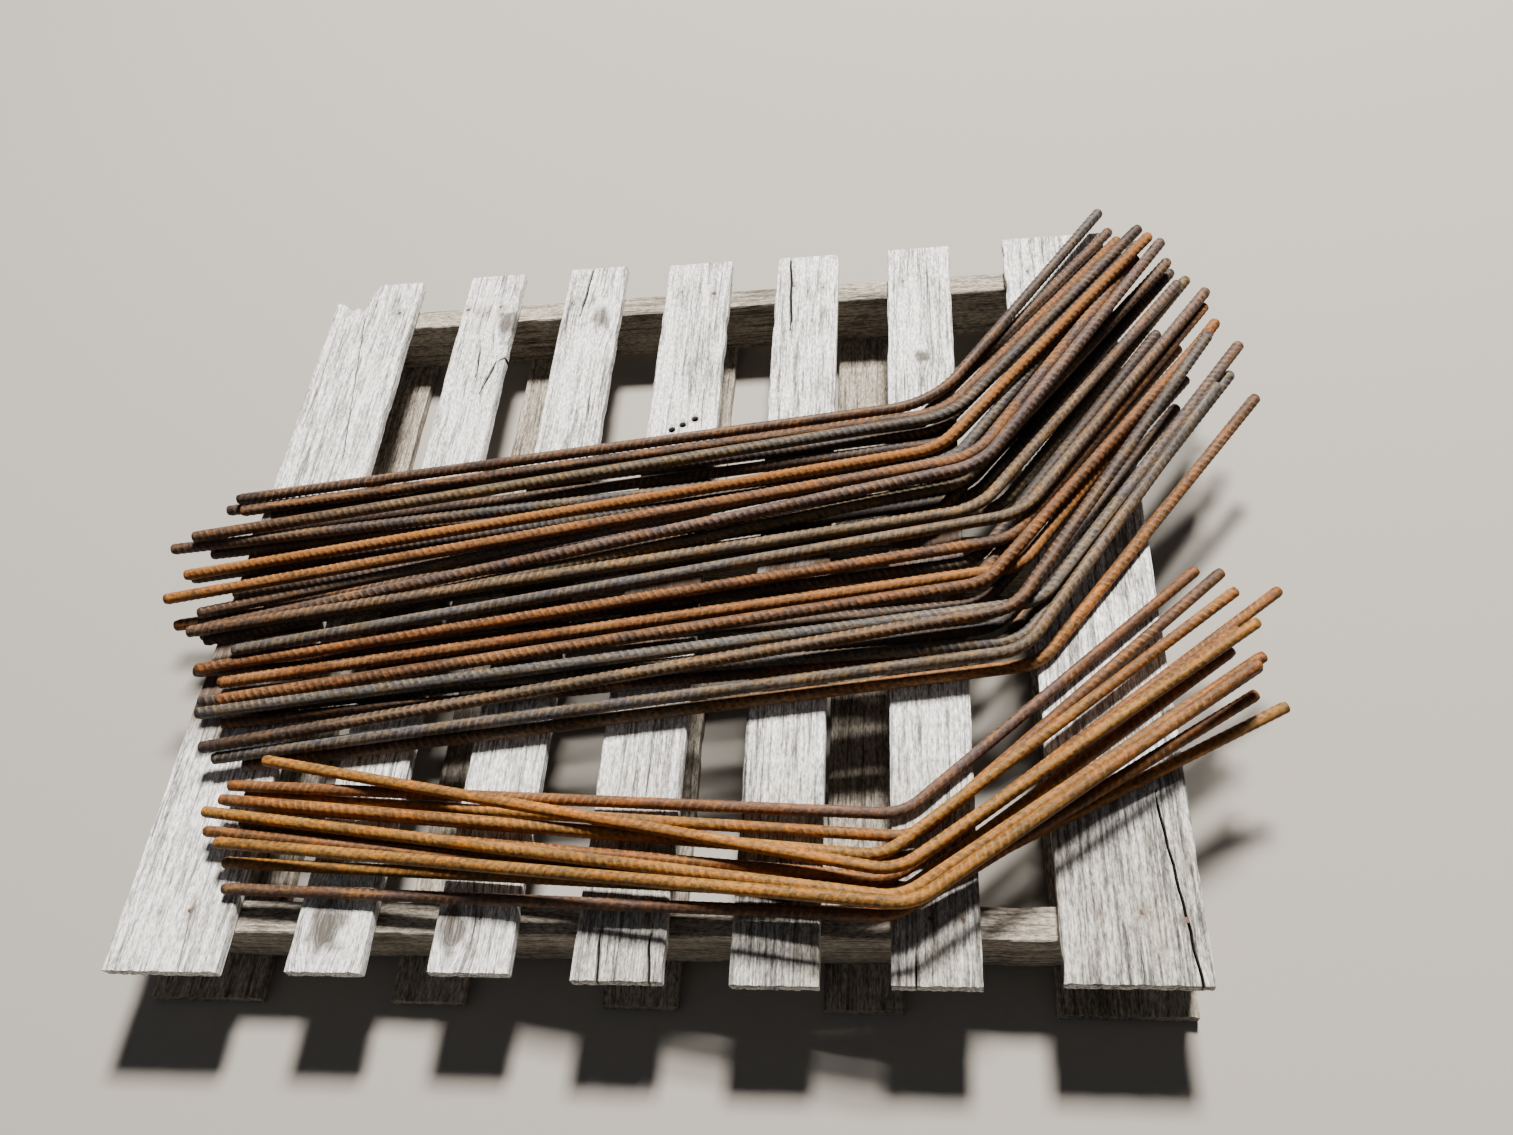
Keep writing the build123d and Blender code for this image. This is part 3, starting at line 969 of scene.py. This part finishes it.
def broken_end(across, length):
    """Where the first deck board ends at its far side, with the strip that has split off."""
    split, depth, slant = 57 * mm, 57 * mm, 13 * mm
    torn = length - depth / 2 - 6.5 * mm - across / split * 22 * mm
    torn = np.minimum(torn, length - 35 * mm)
    torn -= 9 * mm * np.exp(-((across - 30 * mm) / (7 * mm)) ** 2)
    torn -= 2 * mm * np.sin(across / (4.5 * mm)) ** 2
    torn = np.maximum(torn, length - depth)
    beside = length - depth / 2 + np.clip((across - split) / slant, 0, 1) * depth / 2
    return np.where(across < split, torn, beside)


def weather_timber(node_name, seed):
    """One timber with all its own cracks, knots, holes and stains."""
    on_deck = node_name.startswith("deck")
    spacing, step = deck_mesh if on_deck else frame_mesh
    timber = Timber(node_name, seed, spacing * mm, step * mm)
    for crack in board_cracks.get(node_name, ()):
        timber.crack(*crack)
    for place, radius in knots.get(node_name, ()):
        timber.knot(place, radius)
    if on_deck:
        timber.lay_dust_shade_and_grey()
    low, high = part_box(node_name)
    for nail in nail_places:
        if on_deck and low.x < nail[0] * mm < high.x:
            timber.rust_round(nail)
    made = timber.build("weathered_" + node_name, broken_end if node_name == "deck_board_1" else None)
    if node_name == "deck_board_4":
        drill(made, board_holes, hole_radius)
    if node_name == "deck_board_2":
        notch(made, *board_notch)
    return made


# Nails

def nail_tree():
    """Geometry nodes that set a nail head on every point."""
    tree, value, result = new_group("nail_heads", "GeometryNodeTree", {
        "Places": "Geometry",
        "Head Radius": 3.4 * mm,
        "Head Height": 1.6 * mm,
        "Seed": 3,
        "Material": "Material",
    }, {"Heads": "Geometry"})
    disc = {"Vertices": 12, "Radius": value["Head Radius"], "Depth": value["Head Height"]}
    head = add_node(tree, "GeometryNodeMeshCylinder", disc).outputs["Mesh"]
    turns = {"Min": (-0.12, -0.12, 0.0), "Max": (0.12, 0.12, 6.28), "Seed": value["Seed"]}
    tilt = add_node(tree, "FunctionNodeRandomValue", turns, data_type="FLOAT_VECTOR").outputs["Value"]
    points = {"Points": value["Places"], "Instance": head, "Rotation": tilt}
    heads = add_node(tree, "GeometryNodeInstanceOnPoints", points).outputs[0]
    finish_tree(tree, result, heads, value["Material"])
    return tree


def nail_material():
    """Dark rusty nail heads."""
    material, tree, shader = new_material("rusted_nail", {"Metallic": 0.3})
    place = add_node(tree, "ShaderNodeTexCoord").outputs["Object"]
    spots = noise_value(tree, place, (350, 350, 350), 4.0)
    colour = blend(tree, remap(tree, spots, 0.35, 0.65), (0.035, 0.022, 0.017, 1), (0.10, 0.055, 0.035, 1))
    roughness = remap(tree, spots, 0.3, 0.7, 0.55, 0.85)
    wire_surface(tree, shader, colour, roughness, spots, nail_bump * mm)
    return material


# Settings, operators and panel

class BundleSettings(bpy.types.PropertyGroup):
    """Sizes and colours of the bars and the pallet."""

    bar_radius: bpy.props.FloatProperty(
        name="Bar Radius", description="Radius of the far bars between their ribs",
        default=7.5 * mm, min=5 * mm, max=7.9 * mm, unit="LENGTH", precision=5,
    )
    near_bar_radius: bpy.props.FloatProperty(
        name="Near Bar Radius", description="Radius of the near bars between their ribs",
        default=6.8 * mm, min=5 * mm, max=7.9 * mm, unit="LENGTH", precision=5,
    )
    rib_height: bpy.props.FloatProperty(
        name="Rib Height", description="How far a rib stands out of the bar",
        default=0.5 * mm, min=0.0, max=1.5 * mm, unit="LENGTH", precision=5,
    )
    rib_pitch: bpy.props.FloatProperty(
        name="Rib Pitch", description="Distance from one rib to the next along the bar",
        default=9.7 * mm, min=5 * mm, max=20 * mm, unit="LENGTH", precision=5,
    )
    rib_slant: bpy.props.FloatProperty(
        name="Rib Slant", description="How far a rib runs along the bar on its way round one side",
        default=9.0 * mm, min=0.0, max=20 * mm, unit="LENGTH", precision=5,
    )
    rust_colour: bpy.props.FloatVectorProperty(
        name="Rust Colour", description="Colour of the fresh rust on the bars",
        default=(0.245, 0.092, 0.018), min=0.0, max=1.0, subtype="COLOR",
    )
    wood_colour: bpy.props.FloatVectorProperty(
        name="Wood Colour", description="Light fibres of the weathered boards",
        default=(0.84, 0.825, 0.80), min=0.0, max=1.0, subtype="COLOR",
    )
    floor_colour: bpy.props.FloatVectorProperty(
        name="Floor Colour", description="Plain pale floor under the pallet",
        default=(0.29, 0.268, 0.238), min=0.0, max=1.0, subtype="COLOR",
    )


def dress_bar(node_name, look, radius, material, tree, settings, rng):
    """One ribbed bar in the place of its plain solid, with its own look, roll and twist."""
    name = "ribbed_" + node_name
    roll, twist, offset = rng.uniform((0, -most_twist, 0), (2 * math.pi, most_twist, pattern_span))
    values = {
        "Radius": radius,
        "Rib Height": settings.rib_height * look.ribs,
        "Rib Pitch": settings.rib_pitch,
        "Rib Slant": settings.rib_slant * look.slant,
        "Seam Height": settings.rib_height * seam_share,
        "Sides": hidden_bar_sides if node_name in hidden_bars else bar_sides,
        "Roll": roll,
        "Twist": twist,
        "Seed": offset,
        "Material": material,
    }
    path = path_curve(name + "_path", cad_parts[node_name])
    bar = object_from_tree(name, path, tree, values)
    point_outwards(bar.data)
    tint_bar(bar.data, look)
    return bar


class RebarBars(bpy.types.Operator):
    """Replace the plain bars with ribbed, rusty ones"""

    bl_idname = "rebar.bars"
    bl_label = "Ribbed Bars"

    def execute(self, context):
        settings = context.scene.rebar_bundle
        tree = ribbed_bar_tree()
        group = rusty_steel_group()
        far_look = {"Rust Colour": (*settings.rust_colour, 1)}
        bundles = (
            ("far_bar", far_looks, "weathered_bar_steel", far_look, far_metallic, settings.bar_radius),
            ("near_bar", near_looks, "rusted_bar_steel", near_steel_look, near_metallic,
             settings.near_bar_radius),
        )
        rng = np.random.default_rng(bar_seed)
        for prefix, looks, steel, steel_look, metallic, radius in bundles:
            material = grouped_material(steel, group, steel_sources, steel_look, steel_bump * mm, metallic)
            for number, look in enumerate(looks, 1):
                node_name = f"{prefix}_{number:02d}"
                bar = dress_bar(node_name, look, radius, material, tree, settings, rng)
                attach(bar, "root")
                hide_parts(node_name)
        return {"FINISHED"}


class RebarPallet(bpy.types.Operator):
    """Replace the plain boards and stringers with weathered wood"""

    bl_idname = "rebar.pallet"
    bl_label = "Weathered Pallet"

    def execute(self, context):
        settings = context.scene.rebar_bundle
        group = weathered_wood_group()
        deck_wood_look = {"Light Colour": (*settings.wood_colour, 1)}
        # The frame's material is darker, partly its own tone and partly painted shade
        deck_wood, frame_wood = (
            grouped_material(name, group, wood_sources, look, wood_bump * mm)
            for name, look in (("weathered_deck_wood", deck_wood_look),
                               ("weathered_frame_wood", frame_wood_tone_and_shade))
        )
        names = sorted(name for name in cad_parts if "board" in name or "stringer" in name)
        for seed, node_name in enumerate(names, timber_seed):
            timber = weather_timber(node_name, seed)
            timber.data.materials.clear()
            timber.data.materials.append(deck_wood if node_name.startswith("deck") else frame_wood)
            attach(timber, "root")
            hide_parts(node_name)
        return {"FINISHED"}


class RebarNails(bpy.types.Operator):
    """Set nail heads in the deck boards"""

    bl_idname = "rebar.nails"
    bl_label = "Nail Heads"

    def execute(self, context):
        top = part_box("deck_board_1")[1].z
        points = bpy.data.meshes.new("nail_points")
        level = top - nail_depth * mm
        points.from_pydata([(x * mm, y * mm, level) for x, y in nail_places], [], [])
        nails = object_from_tree("pallet_nails", points, nail_tree(), {"Material": nail_material()})
        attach(nails, "root")
        return {"FINISHED"}


def add_light(name, place, target, size, power, colour):
    """One of the studio's square lights, pointing at its target."""
    data = bpy.data.lights.new(name, "AREA")
    data.shape = "SQUARE"
    data.size = size
    data.energy = power
    data.color = colour
    lamp = add_object(name, data)
    lamp.location = place
    aim = Vector(target) - Vector(place)
    lamp.rotation_euler = aim.to_track_quat("-Z", "Y").to_euler()


def add_camera():
    """The camera, as it stood for the photograph."""
    data = bpy.data.cameras.new("photo_camera")
    data.sensor_fit = "HORIZONTAL"
    data.sensor_width = sensor_width
    data.lens = camera_lens
    camera = add_object("photo_camera", data)
    axes = Matrix((camera_right, [-c for c in camera_down], [-c for c in camera_forward])).transposed()
    camera.matrix_world = Matrix.Translation(camera_place) @ axes.to_4x4()
    bpy.context.scene.camera = camera


class RebarStage(bpy.types.Operator):
    """Set up the floor, the studio lights and the camera"""

    bl_idname = "rebar.stage"
    bl_label = "Stage"

    def execute(self, context):
        settings = context.scene.rebar_bundle
        bpy.ops.mesh.primitive_plane_add(size=floor_size, location=(0, 0, 0))
        floor = context.object
        floor.name = "studio_floor"
        paint = {"Base Color": (*settings.floor_colour, 1), "Roughness": 0.9}
        floor.data.materials.append(new_material("pale_floor", paint)[0])

        for name, light in studio_lights.items():
            add_light(name, *light)
        world = bpy.data.worlds.new("studio_air")
        context.scene.world = world
        world.use_nodes = True
        air = world.node_tree.nodes["Background"]
        air.inputs["Color"].default_value = air_colour
        air.inputs["Strength"].default_value = air_strength
        add_camera()
        return {"FINISHED"}


class RebarPanel(bpy.types.Panel):
    """The bundle's settings and the steps that build it"""

    bl_idname = "VIEW3D_PT_rebar_bundle"
    bl_label = "Rebar Bundle"
    bl_space_type = "VIEW_3D"
    bl_region_type = "UI"
    bl_category = "Rebar"

    def draw(self, context):
        settings = context.scene.rebar_bundle
        for name in BundleSettings.__annotations__:
            self.layout.prop(settings, name)
        for operator in operators:
            self.layout.operator(operator.bl_idname)


operators = (RebarBars, RebarPallet, RebarNails, RebarStage)
classes = (BundleSettings, *operators, RebarPanel)


def register():
    """Make the settings, operators and panel known to Blender."""
    for entry in classes:
        bpy.utils.register_class(entry)
    bpy.types.Scene.rebar_bundle = bpy.props.PointerProperty(type=BundleSettings)


def unregister():
    """Take them out again."""
    del bpy.types.Scene.rebar_bundle
    for entry in reversed(classes):
        bpy.utils.unregister_class(entry)


def main():
    """Build the whole scene."""
    register()
    bpy.ops.rebar.bars()
    bpy.ops.rebar.pallet()
    bpy.ops.rebar.nails()
    bpy.ops.rebar.stage()


if __name__ == "__main__":
    main()
